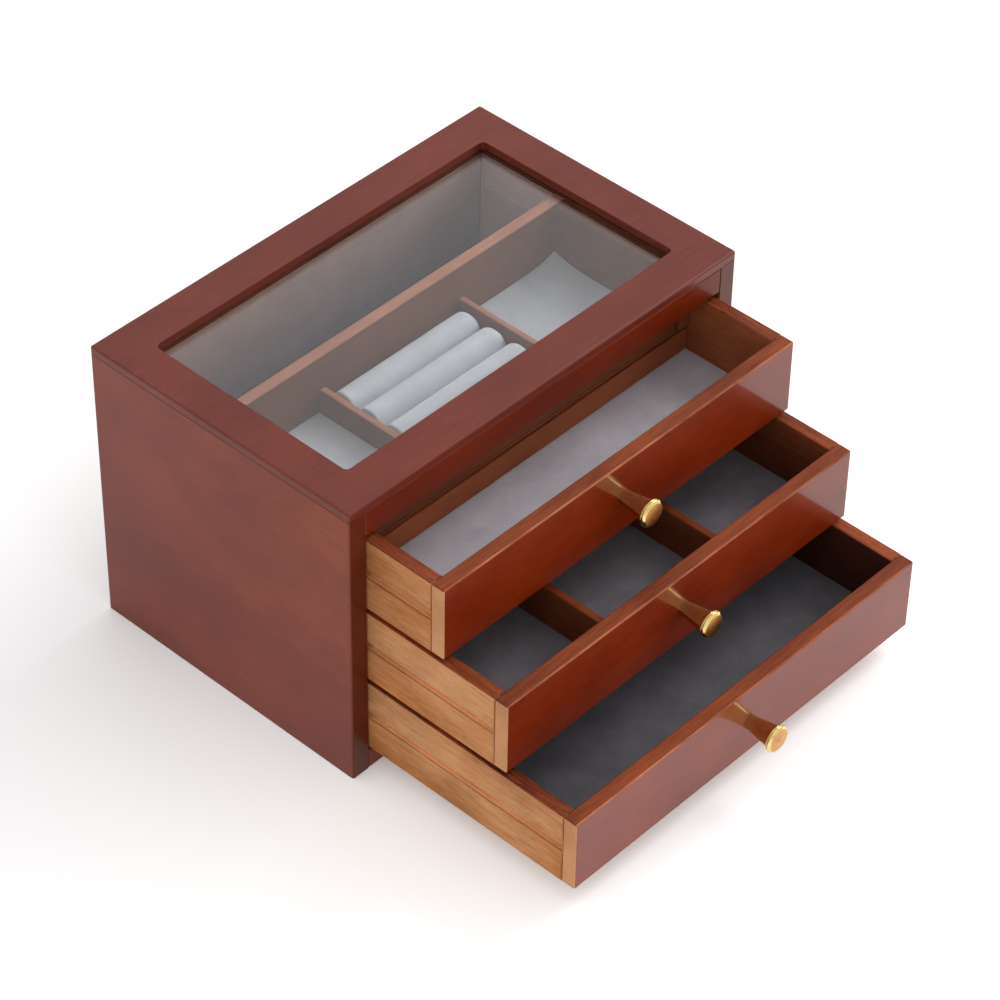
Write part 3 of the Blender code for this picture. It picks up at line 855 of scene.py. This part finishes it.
def make_knob(number, material):
    """A turned trumpet knob that replaces the plain one."""
    node = f"drawer_{number}_knob"
    low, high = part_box(node)
    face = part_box(f"drawer_{number}_front")[0].y
    mesh = bpy.data.meshes.new(f"{node}_turned")
    verts = [(radius * MM, 0.0, out * MM) for radius, out in KNOB_PROFILE]
    edges = [(index, index + 1) for index in range(len(verts) - 1)]
    mesh.from_pydata(verts, edges, [])
    obj = new_object(f"{node}_turned", mesh, material)
    obj.location = ((low.x + high.x) / 2, face - KNOB_SINK, low.z + KNOB_RADIUS)
    obj.rotation_euler = (math.radians(90.0), 0.0, 0.0)
    bpy.context.view_layer.update()
    turn = obj.modifiers.new("turn", "SCREW")
    turn.axis = "Z"
    turn.steps = KNOB_STEPS
    turn.render_steps = KNOB_STEPS
    turn.use_merge_vertices = True
    turn.merge_threshold = WELD_DISTANCE
    turn.use_smooth_shade = True
    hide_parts(node)
    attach(obj, f"drawer_{number}")


def finish_metal():
    """Knobs and hinges."""
    polished = brass("polished_brass", 0.08, 0.16, 0.15, KNOB_FACE)
    for number in (1, 2, 3):
        make_knob(number, polished)
    plated = brass("hinge_brass", 0.22, 0.38, 0.35)
    parts = [
        f"hinge_{side}_{part}"
        for side in ("left", "right")
        for part in ("lid_leaf", "body_leaf", "pin")
    ]
    paint(parts, plated)
    soften(parts, 0.08 * MM, 2, 40.0)


def finish_glass():
    """Clear sheet glass that lets the light of the room through."""
    tree = Tree("clear_glass")
    tree.set(transmission_weight=1.0, roughness=0.0, ior=1.5)
    dust = tree.noise(tree.place(0.0), 210.0, 3.0, 0.7)
    tint = tree.mix(tree.spread(dust, 0.2, 0.9), *GLASS)
    tree.link(tint, tree.shader.inputs["Base Color"])
    path = tree.new("ShaderNodeLightPath")
    clear = tree.new("ShaderNodeBsdfTransparent")
    clear.inputs["Color"].default_value = GLASS_SHADOW
    lamps = tree.new("ShaderNodeMixShader")
    tree.link(path.outputs["Is Shadow Ray"], lamps.inputs[0])
    tree.link(tree.shader.outputs[0], lamps.inputs[1])
    tree.link(clear.outputs[0], lamps.inputs[2])
    tree.link(lamps.outputs[0], tree.output.inputs["Surface"])
    paint(["lid_glass"], tree.material)


# --- Stage, light and camera --------------------------------------------------------------


def build_stage():
    """A pale floor that runs far back, glowing a little in front as painted light, and a white
    surround.
    """
    bm = bmesh.new()
    bmesh.ops.create_grid(bm, x_segments=1, y_segments=1, size=FLOOR_HALF)
    tree = Tree("studio_paper")
    tone = tree.noise(tree.place(0.0), 0.8, 2.0)
    color = tree.mix(tone, (0.93, 0.93, 0.93, 1.0), (0.95, 0.95, 0.95, 1.0))
    tree.link(color, tree.shader.inputs["Base Color"])
    # painted light: the floor glows in front of the cabinet, fading out towards the back
    in_front = tree.spread(tree.coordinate("Object", "Y"), FLOOR_FILL_FROM_Y, FLOOR_FILL_TO_Y)
    fill = tree.math("MULTIPLY", in_front, FLOOR_FILL)
    tree.link(fill, tree.shader.inputs["Emission Strength"])
    tree.set(roughness=0.9, specular_ior_level=0.0, emission_color=(1.0, 1.0, 1.0, 1.0))
    floor = new_object("studio_floor", finished_mesh(bm, "studio_floor"), tree.material)
    floor.location.z = -FLOOR_DROP
    world = bpy.data.worlds.new("studio")
    world.use_nodes = True
    background = world.node_tree.nodes["Background"]
    background.inputs["Color"].default_value = (1.0, 1.0, 1.0, 1.0)
    background.inputs["Strength"].default_value = SURROUND_STRENGTH
    bpy.context.scene.world = world


def add_softbox(name, place, target, size, power):
    """A square area light aimed at a point."""
    light = bpy.data.lights.new(name, "AREA")
    light.shape = "SQUARE"
    light.size = size
    light.energy = power
    obj = bpy.data.objects.new(name, light)
    obj.location = place
    aim = Vector(target) - Vector(place)
    obj.rotation_euler = aim.to_track_quat("-Z", "Y").to_euler()
    bpy.context.scene.collection.objects.link(obj)


def build_camera():
    """The camera, turned by its azimuth, elevation and roll."""
    azimuth = math.radians(CAMERA_AZIMUTH)
    elevation = math.radians(CAMERA_ELEVATION)
    roll = math.radians(CAMERA_ROLL)
    back = Vector(
        (
            math.sin(azimuth) * math.cos(elevation),
            -math.cos(azimuth) * math.cos(elevation),
            math.sin(elevation),
        )
    )
    level = Vector((math.cos(azimuth), math.sin(azimuth), 0.0))
    upright = back.cross(level)
    right = math.cos(roll) * level + math.sin(roll) * upright
    up = math.cos(roll) * upright - math.sin(roll) * level
    turn = Matrix((right, up, back)).transposed()
    data = bpy.data.cameras.new("camera")
    data.lens = CAMERA_LENS
    data.sensor_width = CAMERA_SENSOR
    data.clip_end = CAMERA_FAR
    camera = bpy.data.objects.new("camera", data)
    camera.matrix_world = Matrix.Translation(Vector(CAMERA_PLACE)) @ turn.to_4x4()
    bpy.context.scene.collection.objects.link(camera)
    bpy.context.scene.camera = camera
    bpy.context.scene.view_settings.view_transform = "Standard"


build_camera()
build_stage()
add_softbox("key", KEY_PLACE, KEY_TARGET, KEY_SIZE, KEY_POWER)
finish_cabinet()
for drawer in (1, 2, 3):
    finish_drawer(drawer)
line_everything()
finish_metal()
finish_glass()
